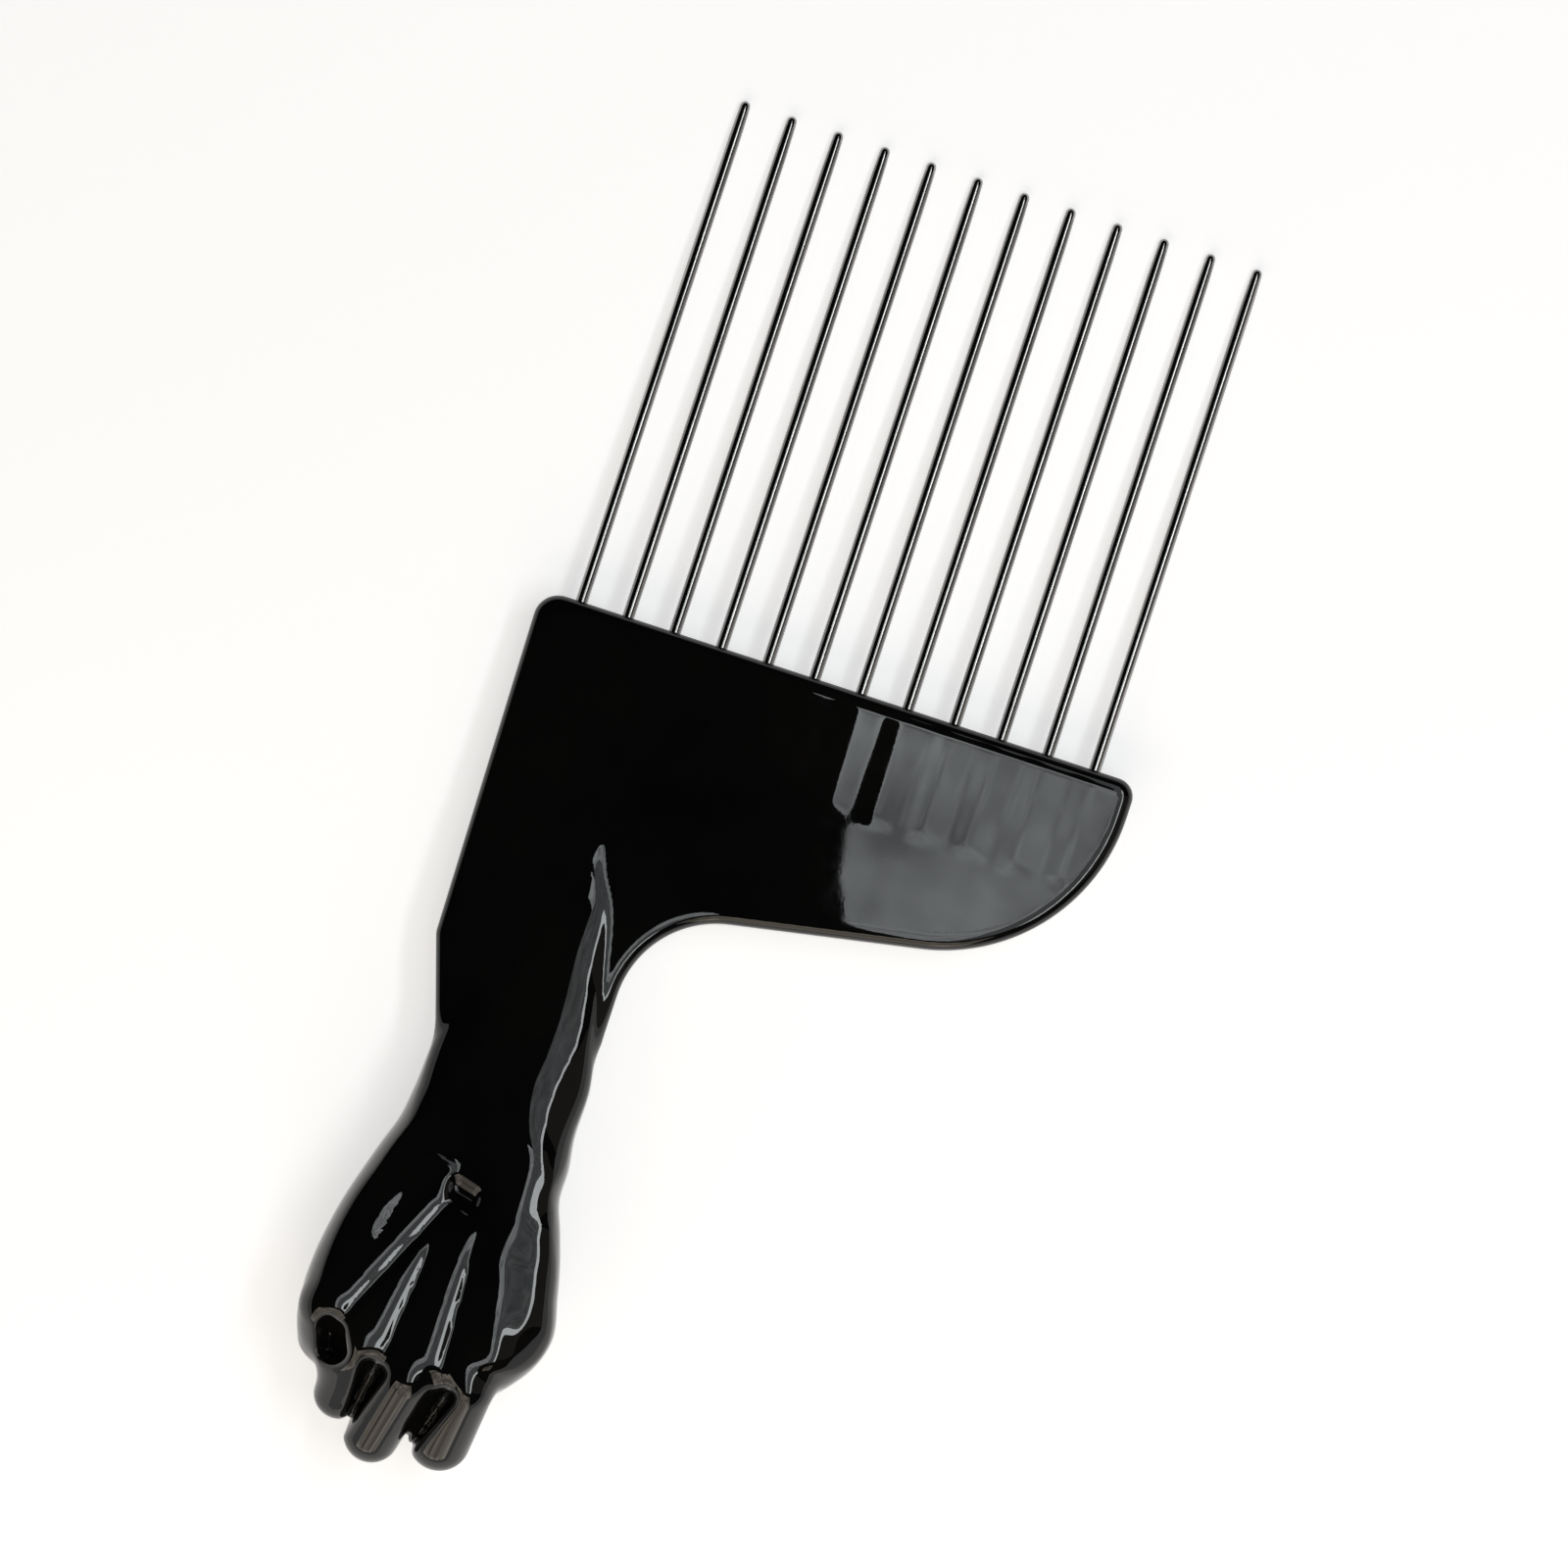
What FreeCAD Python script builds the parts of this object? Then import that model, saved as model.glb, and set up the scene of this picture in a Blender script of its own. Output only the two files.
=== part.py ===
import FreeCAD
import Part
import math
import os
import re

import Sketcher
from FreeCAD import Placement, Rotation, Vector

# Afro pick: a row of steel tines moulded into a handle whose blade runs out into one long wing
# and whose grip is a forearm ending in a closed right fist, seen from the back of the hand.
# It is drawn flat: X runs across the comb (0 at its middle), Y towards the tips (0 at the comb
# edge) and Z out of the back of the hand (0 at mid-thickness). A drop is a distance below the
# comb edge, an offset a distance from the arm's centre line towards the thumb side.
# The finished pick is then laid down as it rests on a table: on its tine tips and the fist.

# Driving dimensions, in millimetres and degrees.
SIZES = {
    # Tines: round wire with a bullet tip, and the hidden end pressed flat as an anchor.
    "tine_count": 12,
    "tine_pitch": 6.4,
    "tine_diameter": 1.6,
    "tine_reach": 69.1,
    "tine_embed": 16,
    "tip_length": 2.2,
    "tip_diameter": 0.6,
    "anchor_length": 5,
    "anchor_width": 2.4,
    "anchor_thickness": 0.9,
    "socket_clearance": 0.02,
    # Blade: the flat plate with its comb edge, heel, wing and the notch under the wing.
    # Its tongue runs on inside the forearm.
    "blade_thickness": 5,
    "blade_edge_radius": 1.3,
    "blade_left_margin": 5.4,
    "blade_right_margin": 5.9,
    "blade_left_corner": 3.3,
    "blade_right_corner": 2.5,
    "wing_drop": 4.7,
    "wing_radius": 25,
    "wing_slope": 11,
    "notch_radius": 13.5,
    "heel_drop": 45.8,
    "neck_rise": 9,
    "neck_inset": 0.4,
    "tongue_overlap": 5,
    "tongue_inset": 2.5,
    # Forearm and hand: rounded sections in a row, each a span further down the arm.
    "arm_offset": 25.2,
    "section_corner": 65,
    "sprout_span": 29,
    "sprout_width": 4,
    "sprout_depth": 3.4,
    "sprout_lift": 0,
    "swell_span": 7,
    "swell_width": 9,
    "swell_depth": 5.6,
    "swell_lift": 0,
    "forearm_span": 10,
    "forearm_width": 15.5,
    "forearm_depth": 9,
    "forearm_lift": 0,
    "wrist_span": 17,
    "wrist_width": 21.8,
    "wrist_depth": 13.4,
    "wrist_lift": 0,
    "carpus_span": 10,
    "carpus_width": 23.8,
    "carpus_depth": 14,
    "carpus_lift": 0.3,
    "palm_span": 11,
    "palm_width": 30,
    "palm_depth": 15,
    "palm_lift": 1,
    "knuckle_span": 9.5,
    "knuckle_width": 33,
    "knuckle_depth": 15.4,
    "knuckle_lift": 1.2,
    "web_span": 12,
    "web_width": 23,
    "web_depth": 9,
    "web_lift": -0.5,
    # Fingers: each leaves its knuckle, folds down over its middle joint and tucks its tip into the
    # palm. The reach runs from the knuckle section to the outer side of the fold.
    "finger_root": 1.5,
    "joint_growth": 0.4,
    "fingertip_length": 10,
    "fingertip_lift": 8,
    "pinky_offset": -13.3,
    "pinky_diameter": 6.2,
    "pinky_fold": 6,
    "pinky_reach": 11.9,
    "pinky_slant": 4,
    "ring_offset": -6.2,
    "ring_diameter": 7.2,
    "ring_fold": 6.9,
    "ring_reach": 17.9,
    "ring_slant": 11,
    "middle_offset": 3.5,
    "middle_diameter": 8.4,
    "middle_fold": 7.8,
    "middle_reach": 21.9,
    "middle_slant": 17,
    "index_offset": 11.6,
    "index_diameter": 8,
    "index_fold": 7.6,
    "index_reach": 20,
    "index_slant": 17,
    # Thumb: runs down the index side of the palm and folds across the curled fingers.
    "thumb_offset": 8.6,
    "thumb_rise": 13,
    "thumb_depth": 2.6,
    "thumb_diameter": 6.8,
    "thumb_length": 16,
    "thumb_turn": 78,
    "thumb_tip_length": 13.5,
    "thumb_slant": 15,
    "thumb_dip": 14,
    # Furrows between the tendons: each starts near the wrist, this far above the knuckle section, and
    # widens until it runs out between two knuckles.
    "furrow_start_width": 0.8,
    "furrow_start_depth": 0.3,
    "furrow_depth": 1,
    "furrow_overrun": 7,
    "pinky_furrow_top": 15.3,
    "pinky_furrow_offset": -1.9,
    "pinky_furrow_end": -9.4,
    "pinky_furrow_width": 2,
    "ring_furrow_top": 12.5,
    "ring_furrow_offset": -1.7,
    "ring_furrow_end": -3.6,
    "ring_furrow_width": 3.4,
    "middle_furrow_top": 12.8,
    "middle_furrow_offset": 2.9,
    "middle_furrow_end": 3.8,
    "middle_furrow_width": 3.2,
}

STATIONS = ("sprout", "swell", "forearm", "wrist", "carpus", "palm", "knuckle", "web")
FINGERS = ("pinky", "ring", "middle", "index")

ORIGIN = (-1, 1)
X_AXIS = -1
Y_AXIS = -2
START, END, CENTRE = 1, 2, 3

# A face counts as facing up or down when its normal is this near to vertical.
FACING = 0.99
# Rounding may change a volume by this much, in cubic millimetres.
VOLUME_NOISE = 0.01
# Points on the surface, within this many millimetres of it, tell where the pick touches the table.
REST_PRECISION = 0.05
REST_ROUNDS = 4

doc = FreeCAD.newDocument("afro_pick")


def make_sheet():
    table = doc.addObject("Spreadsheet::Sheet", "sizes")
    for row, (name, amount) in enumerate(SIZES.items(), 1):
        table.set(f"A{row}", name)
        table.set(f"B{row}", str(amount))
        table.setAlias(f"B{row}", name)
    doc.recompute()
    return table


sheet = make_sheet()


def number(formula):
    return float(sheet.evalExpression(formula))


def linked(formula):
    return re.sub(r"[a-z_]+", lambda word: f"sizes.{word[0]}" if word[0] in SIZES else word[0], formula)


def bind(feature, **formulas):
    for name, formula in formulas.items():
        feature.setExpression(name, linked(formula))


# Places that several pieces share

def station_drop(station):
    passed = STATIONS[:STATIONS.index(station) + 1]
    return "(" + " + ".join(f"{name}_span" for name in passed) + ")"


COMB_HALF = "tine_pitch * (tine_count - 1) / 2"
BLADE_LEFT = f"{COMB_HALF} + blade_left_margin"
BLADE_RIGHT = f"{COMB_HALF} + blade_right_margin"
NECK_X = "arm_offset - wrist_width / 2 + neck_inset"
NECK_DROP = f"{station_drop('wrist')} - neck_rise"
TONGUE_HALF = "(wrist_width / 2 - tongue_inset)"
TONGUE_DROP = f"{station_drop('wrist')} + tongue_overlap"
KNUCKLE_DROP = station_drop("knuckle")
FINGER_DROP = f"{KNUCKLE_DROP} + finger_root"
THUMB_DROP = f"{KNUCKLE_DROP} - thumb_rise"
WIRE_FOOT = "(anchor_length / 2 - tine_embed)"


# Sketch helpers

def origin_plane(body, role):
    return next(feature for feature in body.Origin.OriginFeatures if feature.Role == role)


def new_sketch(body, role, name, place=("0", "0", "0")):
    sketch = body.newObject("Sketcher::SketchObject", name)
    sketch.AttachmentSupport = (origin_plane(body, role), [""])
    sketch.MapMode = "FlatFace"
    sketch.AttachmentOffset = Placement(Vector(*map(number, place)), Rotation())
    for axis, formula in zip("xyz", place):
        sketch.setExpression(f"AttachmentOffset.Base.{axis}", linked(formula))
    return sketch


def rule(sketch, kind, *references):
    sketch.addConstraint(Sketcher.Constraint(kind, *references))


def dimension(sketch, kind, formula, *references):
    index = sketch.addConstraint(Sketcher.Constraint(kind, *references, number(formula)))
    sketch.setExpression(f"Constraints[{index}]", linked(formula))


def direction(sketch, formula, line):
    index = sketch.addConstraint(Sketcher.Constraint("Angle", line, math.radians(number(formula))))
    sketch.setExpression(f"Constraints[{index}]", f"({linked(formula)}) * 1 deg")


def add_line(sketch, start, end):
    return sketch.addGeometry(Part.LineSegment(Vector(*start), Vector(*end)), False)


def add_arc(sketch, centre, radius, first, last):
    circle = Part.Circle(Vector(*centre), Vector(0, 0, 1), radius)
    return sketch.addGeometry(Part.ArcOfCircle(circle, math.radians(first), math.radians(last)), False)


def locate(sketch, element, end, across, along):
    for kind, axis, formula in (("DistanceX", Y_AXIS, across), ("DistanceY", X_AXIS, along)):
        amount = number(formula)
        if amount > 0:
            dimension(sketch, kind, formula, *ORIGIN, element, end)
        elif amount < 0:
            dimension(sketch, kind, f"-({formula})", element, end, *ORIGIN)
        else:
            rule(sketch, "PointOnObject", element, end, axis)


# Blade

def blade_outline(body):
    sketch = new_sketch(body, "XY_Plane", "blade_outline")
    left = -number(BLADE_LEFT)
    right = number(BLADE_RIGHT)
    left_corner = number("blade_left_corner")
    right_corner = number("blade_right_corner")
    wing_drop = number("wing_drop")
    wing_radius = number("wing_radius")
    notch_radius = number("notch_radius")
    slope = number("wing_slope")
    along = math.cos(math.radians(slope))
    rise = math.sin(math.radians(slope))
    heel = (left, -number("heel_drop"))
    tongue_left = (-number(f"arm_offset + {TONGUE_HALF}"), -number(TONGUE_DROP))
    tongue_right = (-number(f"arm_offset - {TONGUE_HALF}"), -number(TONGUE_DROP))
    neck = (-number(NECK_X), -number(NECK_DROP))
    wing_centre = (right - wing_radius, -wing_drop)
    wing_low = (wing_centre[0] + wing_radius * rise, wing_centre[1] - wing_radius * along)
    notch_x = neck[0] + notch_radius
    notch_high_x = notch_x - notch_radius * rise
    notch_high = (notch_high_x, wing_low[1] - (wing_low[0] - notch_high_x) * rise / along)
    notch_centre = (notch_x, notch_high[1] - notch_radius * along)

    comb_edge = add_line(sketch, (right - right_corner, 0), (left + left_corner, 0))
    left_arc = add_arc(sketch, (left + left_corner, -left_corner), left_corner, 90, 180)
    left_edge = add_line(sketch, (left, -left_corner), heel)
    heel_edge = add_line(sketch, heel, tongue_left)
    tongue_edge = add_line(sketch, tongue_left, tongue_right)
    tongue_side = add_line(sketch, tongue_right, neck)
    neck_edge = add_line(sketch, neck, (neck[0], notch_centre[1]))
    notch_arc = add_arc(sketch, notch_centre, notch_radius, 90 + slope, 180)
    wing_edge = add_line(sketch, notch_high, wing_low)
    wing_arc = add_arc(sketch, wing_centre, wing_radius, slope - 90, 0)
    right_edge = add_line(sketch, (right, -wing_drop), (right, -right_corner))
    right_arc = add_arc(sketch, (right - right_corner, -right_corner), right_corner, 0, 90)

    rule(sketch, "Tangent", comb_edge, END, left_arc, START)
    rule(sketch, "Tangent", left_arc, END, left_edge, START)
    rule(sketch, "Coincident", left_edge, END, heel_edge, START)
    rule(sketch, "Coincident", heel_edge, END, tongue_edge, START)
    rule(sketch, "Coincident", tongue_edge, END, tongue_side, START)
    rule(sketch, "Coincident", tongue_side, END, neck_edge, START)
    rule(sketch, "Tangent", neck_edge, END, notch_arc, END)
    rule(sketch, "Tangent", notch_arc, START, wing_edge, START)
    rule(sketch, "Tangent", wing_edge, END, wing_arc, START)
    rule(sketch, "Tangent", wing_arc, END, right_edge, START)
    rule(sketch, "Tangent", right_edge, END, right_arc, START)
    rule(sketch, "Tangent", right_arc, END, comb_edge, START)
    for edge in (comb_edge, tongue_edge):
        rule(sketch, "Horizontal", edge)
    for edge in (left_edge, neck_edge, right_edge):
        rule(sketch, "Vertical", edge)
    rule(sketch, "PointOnObject", comb_edge, START, X_AXIS)
    dimension(sketch, "DistanceX", BLADE_LEFT, left_edge, START, *ORIGIN)
    dimension(sketch, "DistanceX", BLADE_RIGHT, *ORIGIN, right_edge, START)
    dimension(sketch, "Radius", "blade_left_corner", left_arc)
    dimension(sketch, "Radius", "blade_right_corner", right_arc)
    dimension(sketch, "Radius", "wing_radius", wing_arc)
    dimension(sketch, "Radius", "notch_radius", notch_arc)
    dimension(sketch, "DistanceY", "wing_drop", wing_arc, CENTRE, *ORIGIN)
    direction(sketch, "wing_slope", wing_edge)
    dimension(sketch, "DistanceY", "heel_drop", left_edge, END, *ORIGIN)
    dimension(sketch, "DistanceY", TONGUE_DROP, tongue_edge, START, *ORIGIN)
    dimension(sketch, "DistanceX", f"arm_offset + {TONGUE_HALF}", tongue_edge, START, *ORIGIN)
    dimension(sketch, "DistanceX", f"arm_offset - {TONGUE_HALF}", tongue_edge, END, *ORIGIN)
    dimension(sketch, "DistanceX", NECK_X, neck_edge, START, *ORIGIN)
    dimension(sketch, "DistanceY", NECK_DROP, neck_edge, START, *ORIGIN)
    return sketch


def add_blade(body):
    plate = body.newObject("PartDesign::Pad", "blade")
    plate.Profile = blade_outline(body)
    plate.SideType = "Symmetric"
    bind(plate, Length="blade_thickness")
    doc.recompute()
    broad_faces = []
    for index, face in enumerate(plate.Shape.Faces, 1):
        if abs(face.normalAt(0, 0).z) > FACING:
            broad_faces.append(f"Face{index}")
    edge = body.newObject("PartDesign::Fillet", "blade_edge")
    edge.Base = (plate, broad_faces)
    bind(edge, Radius="blade_edge_radius")


# Forearm and hand: every section is an oval of four arcs, two flat crowns and two round sides,
# that meet at the same angle all along the arm.

CORNER_EXCESS = "(cos(section_corner * 1 deg) + sin(section_corner * 1 deg) - 1)"


def station_sketch(body, station):
    place = ("-arm_offset", f"{station}_lift", station_drop(station))
    sketch = new_sketch(body, "XZ_Plane", f"{station}_section", place)
    corner = number("section_corner")
    spread = f"(({station}_width - {station}_depth) / 2 / {CORNER_EXCESS})"
    side_centre = f"({spread} * cos(section_corner * 1 deg))"
    side_radius = f"({station}_width / 2 - {side_centre})"
    crown_radius = f"({side_radius} + {spread})"
    centre = number(side_centre)
    side = number(side_radius)
    crown = number(crown_radius)
    sunk = crown - number(f"{station}_depth / 2")
    back = add_arc(sketch, (0, -sunk), crown, corner, 180 - corner)
    left = add_arc(sketch, (-centre, 0), side, 180 - corner, 180 + corner)
    front = add_arc(sketch, (0, sunk), crown, 180 + corner, 360 - corner)
    right = add_arc(sketch, (centre, 0), side, -corner, corner)
    loop = (back, left, front, right)
    for arc, following in zip(loop, loop[1:] + loop[:1]):
        rule(sketch, "Tangent", arc, END, following, START)
    rule(sketch, "PointOnObject", back, CENTRE, Y_AXIS)
    rule(sketch, "PointOnObject", left, CENTRE, X_AXIS)
    rule(sketch, "PointOnObject", right, CENTRE, X_AXIS)
    rule(sketch, "Equal", left, right)
    rule(sketch, "Equal", back, front)
    dimension(sketch, "Radius", side_radius, right)
    dimension(sketch, "Radius", crown_radius, back)
    dimension(sketch, "DistanceX", side_centre, *ORIGIN, right, CENTRE)
    return sketch


def add_arm(body):
    sections = [station_sketch(body, station) for station in STATIONS]
    wrist = STATIONS.index("wrist")
    for name, run in (("forearm", sections[:wrist + 1]), ("hand", sections[wrist:])):
        loft = body.newObject("PartDesign::AdditiveLoft", name)
        loft.Profile = run[0]
        loft.Sections = run[1:]


# Fingers and thumb

def add_ball(body, name, diameter, centre):
    ball = body.newObject("PartDesign::AdditiveSphere", name)
    bind(ball, Radius=f"({diameter}) / 2")
    ball.Placement = Placement(centre, Rotation())


def add_bone(body, name, diameter, length, start, heading):
    bone = body.newObject("PartDesign::AdditiveCylinder", name)
    bind(bone, Radius=f"({diameter}) / 2", Height=length)
    bone.Placement = Placement(start, Rotation(Vector(0, 0, 1), heading))
    return start + heading * number(length)


def add_digit(body, digit, start, bones):
    joint_size = f"{digit}_diameter + joint_growth"
    add_ball(body, f"{digit}_joint_0", joint_size, start)
    for index, (length, heading) in enumerate(bones, 1):
        start = add_bone(body, f"{digit}_bone_{index}", f"{digit}_diameter", length, start, heading)
        add_ball(body, f"{digit}_joint_{index}", joint_size, start)


def add_finger(body, finger):
    slant = Rotation(Vector(0, 0, 1), -number(f"{finger}_slant"))
    lift = Rotation(Vector(1, 0, 0), number("fingertip_lift"))
    across = number(f"{finger}_offset - arm_offset")
    root = Vector(across, -number(FINGER_DROP), number(f"{finger}_fold / 2"))
    run = (f"({finger}_reach - finger_root - ({finger}_diameter + joint_growth) / 2)"
           f" / cos({finger}_slant * 1 deg)")
    bones = ((run, slant.multVec(Vector(0, -1, 0))),
             (f"{finger}_fold", Vector(0, 0, -1)),
             ("fingertip_length", slant.multVec(lift.multVec(Vector(0, 1, 0)))))
    add_digit(body, finger, root, bones)


def add_thumb(body):
    turn = Rotation(Vector(1, 0, 0), number("thumb_dip")) * Rotation(Vector(0, 0, 1), number("thumb_slant"))
    fold = Rotation(Vector(0, 0, 1), -number("thumb_turn"))
    root = Vector(number("thumb_offset - arm_offset"), -number(THUMB_DROP), -number("thumb_depth"))
    down = Vector(0, -1, 0)
    bones = (("thumb_length", turn.multVec(down)),
             ("thumb_tip_length", turn.multVec(fold.multVec(down))))
    add_digit(body, "thumb", root, bones)


# Back of the hand

def back_point(body, offset, drop):
    foot = Vector(number(f"{offset} - arm_offset"), -number(drop), 0)
    probe = Part.makeLine(foot, foot + Vector(0, 0, number("knuckle_depth * 2")))
    return Vector(foot.x, foot.y, body.Shape.common(probe).BoundBox.ZMax)


def furrow_radius(width, depth):
    return f"({width} ^ 2 / {depth} / 8 + {depth} / 2)"


def add_furrow(body, finger):
    start_radius = number(furrow_radius("furrow_start_width", "furrow_start_depth"))
    end_radius = number(furrow_radius(f"{finger}_furrow_width", "furrow_depth"))
    start = back_point(body, f"{finger}_furrow_offset", f"{KNUCKLE_DROP} - {finger}_furrow_top")
    start.z += start_radius - number("furrow_start_depth")
    end = back_point(body, f"{finger}_furrow_end", KNUCKLE_DROP)
    end.z += end_radius - number("furrow_depth")
    axis = end - start
    stretch = 1 + number("furrow_overrun") / axis.Length
    cone = body.newObject("PartDesign::SubtractiveCone", f"{finger}_furrow")
    cone.Radius1 = start_radius
    cone.Radius2 = start_radius + (end_radius - start_radius) * stretch
    cone.Height = axis.Length * stretch
    cone.Placement = Placement(start, Rotation(Vector(0, 0, 1), axis))


# Tines and their sockets

def turned_profile(sketch, radius, foot, top):
    points = [("0", foot), (radius, foot)] + top
    corners = [(number(across), number(along)) for across, along in points]
    lines = [add_line(sketch, start, end) for start, end in zip(corners, corners[1:])]
    for line, (across, along) in zip(lines, points):
        locate(sketch, line, START, across, along)
    locate(sketch, lines[-1], END, *points[-1])
    for line, following in zip(lines, lines[1:]):
        rule(sketch, "Coincident", line, END, following, START)
    return lines


def anchor_outline(body, name, clearance, place):
    sketch = new_sketch(body, "XY_Plane", name, place)
    half = number(f"anchor_width / 2 + {clearance}")
    low = -number(f"tine_embed + {clearance}")
    high = -number(f"tine_embed - anchor_length - {clearance}")
    corners = [(-half, low), (half, low), (half, high), (-half, high)]
    loop = [add_line(sketch, start, end) for start, end in zip(corners, corners[1:] + corners[:1])]
    for line, following in zip(loop, loop[1:] + loop[:1]):
        rule(sketch, "Coincident", line, END, following, START)
    base, right, top, left = loop
    for line in (base, top):
        rule(sketch, "Horizontal", line)
    for line in (right, left):
        rule(sketch, "Vertical", line)
    dimension(sketch, "DistanceX", f"anchor_width / 2 + {clearance}", *ORIGIN, base, END)
    dimension(sketch, "DistanceX", f"anchor_width + 2 * {clearance}", base, START, base, END)
    dimension(sketch, "DistanceY", f"tine_embed + {clearance}", base, START, *ORIGIN)
    dimension(sketch, "DistanceY", f"tine_embed - anchor_length - {clearance}", top, START, *ORIGIN)
    return sketch


def add_sockets(body):
    place = (f"-({COMB_HALF})", "0", "0")
    sketch = new_sketch(body, "XY_Plane", "socket_profile", place)
    radius = "tine_diameter / 2 + socket_clearance"
    foot = f"{WIRE_FOOT} - socket_clearance"
    lines = turned_profile(sketch, radius, foot, [(radius, "tine_diameter"), ("0", "tine_diameter")])
    axis = add_line(sketch, (0, number("tine_diameter")), (0, number(foot)))
    rule(sketch, "Coincident", lines[-1], END, axis, START)
    rule(sketch, "Coincident", axis, END, lines[0], START)
    socket = body.newObject("PartDesign::Groove", "socket")
    socket.Profile = sketch
    socket.ReferenceAxis = (sketch, ["V_Axis"])
    socket.Angle = 360
    seat = body.newObject("PartDesign::Pocket", "anchor_seat")
    seat.Profile = anchor_outline(body, "seat_outline", "socket_clearance", place)
    seat.SideType = "Symmetric"
    bind(seat, Length="anchor_thickness + 2 * socket_clearance")
    row = body.newObject("PartDesign::LinearPattern", "sockets")
    row.Originals = [socket, seat]
    row.Direction = (sketch, ["H_Axis"])
    bind(row, Length="tine_pitch * (tine_count - 1)", Occurrences="tine_count")
    body.Tip = row


def make_tine(index):
    body = doc.addObject("PartDesign::Body", f"tine_{index + 1:02d}")
    sketch = new_sketch(body, "XY_Plane", f"{body.Name}_profile")
    shoulder = "tine_reach - tip_length"
    lines = turned_profile(sketch, "tine_diameter / 2", WIRE_FOOT, [("tine_diameter / 2", shoulder)])
    taper = "((tine_diameter - tip_diameter) / 2)"
    round_radius = f"(({taper} ^ 2 + tip_length ^ 2) / 2 / {taper})"
    radius = number(round_radius)
    reach = number("tine_reach")
    tip = number("tip_diameter / 2")
    sweep = math.degrees(math.asin(number("tip_length") / radius))
    bullet = add_arc(sketch, (number("tine_diameter / 2") - radius, number(shoulder)), radius, 0, sweep)
    end = add_line(sketch, (tip, reach), (0, reach))
    axis = add_line(sketch, (0, reach), (0, number(WIRE_FOOT)))
    rule(sketch, "Tangent", lines[-1], END, bullet, START)
    rule(sketch, "Coincident", bullet, END, end, START)
    rule(sketch, "Coincident", end, END, axis, START)
    rule(sketch, "Coincident", axis, END, lines[0], START)
    rule(sketch, "Horizontal", end)
    dimension(sketch, "DistanceY", "tine_reach", *ORIGIN, end, END)
    dimension(sketch, "DistanceX", "tip_diameter / 2", end, END, end, START)
    wire = body.newObject("PartDesign::Revolution", f"{body.Name}_wire")
    wire.Profile = sketch
    wire.ReferenceAxis = (sketch, ["V_Axis"])
    wire.Angle = 360
    anchor = body.newObject("PartDesign::Pad", f"{body.Name}_anchor")
    anchor.Profile = anchor_outline(body, f"{body.Name}_anchor_outline", "0", ("0", "0", "0"))
    anchor.SideType = "Symmetric"
    bind(anchor, Length="anchor_thickness")
    return body


def make_handle():
    body = doc.addObject("PartDesign::Body", "handle")
    add_blade(body)
    add_arm(body)
    for finger in FINGERS:
        add_finger(body, finger)
    add_thumb(body)
    for finger in FINGERS[:-1]:
        doc.recompute()
        add_furrow(body, finger)
    add_sockets(body)
    doc.recompute()
    return body


def check_document():
    for item in doc.Objects:
        if "Invalid" in item.State or "Error" in item.State:
            raise RuntimeError(f"{item.Name} failed: {item.State}")


def check_volumes(body):
    features = [item for item in body.Group if item.isDerivedFrom("PartDesign::Feature")]
    for before, after in zip(features, features[1:]):
        gain = after.Shape.Volume - before.Shape.Volume
        adds = "Additive" in after.TypeId
        if adds and gain < -VOLUME_NOISE:
            raise RuntimeError(f"{after.Name} lost {-gain:.2f} cubic millimetres")
        if not adds and gain > -VOLUME_NOISE:
            raise RuntimeError(f"{after.Name} removed nothing")


def check_shape(body):
    shape = body.Shape
    if shape.isNull() or not shape.isValid() or len(shape.Solids) != 1:
        raise RuntimeError(f"{body.Label} is not one valid solid")
    print(f"{body.Label}: {shape.Volume:.1f} cubic millimetres, {len(shape.Faces)} faces")


# Rest: the tine tips and the underside of the fist touch the table, and the origin is on the
# table below the middle of the pick.

def rest_placement(handle, tine):
    handle_points = handle.Shape.tessellate(REST_PRECISION)[0]
    tine_points = tine.Shape.tessellate(REST_PRECISION)[0]
    lean = 0
    for _ in range(REST_ROUNDS):
        tip = min(tine_points, key=lambda point: point.z * math.cos(lean) - point.y * math.sin(lean))
        lean = max(math.atan2(tip.z - point.z, tip.y - point.y) for point in handle_points)
    turn = Rotation(Vector(1, 0, 0), -math.degrees(lean))
    across, along, height = zip(*(turn.multVec(point) for point in handle_points + tine_points))
    middle = Vector((min(across) + max(across)) / 2, (min(along) + max(along)) / 2, min(height))
    print(f"rests at {math.degrees(lean):.2f} degrees, drawing origin at {-middle}")
    return Placement(-middle, turn)


handle = make_handle()
tines = [make_tine(index) for index in range(round(number("tine_count")))]
doc.recompute()
check_document()
check_volumes(handle)

rest = rest_placement(handle, tines[0])
handle.Placement = rest
for index, tine in enumerate(tines):
    across = number(f"tine_pitch * {index} - {COMB_HALF}")
    tine.Placement = rest * Placement(Vector(across, 0, 0), Rotation())

pieces = [handle] + tines
for piece in pieces:
    check_shape(piece)
os.makedirs("parts", exist_ok=True)
for piece in pieces:
    piece.Shape.exportStep(f"parts/{piece.Label}.step")
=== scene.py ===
import bpy
import math
import numpy as np
from mathutils import Matrix, Vector


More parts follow.
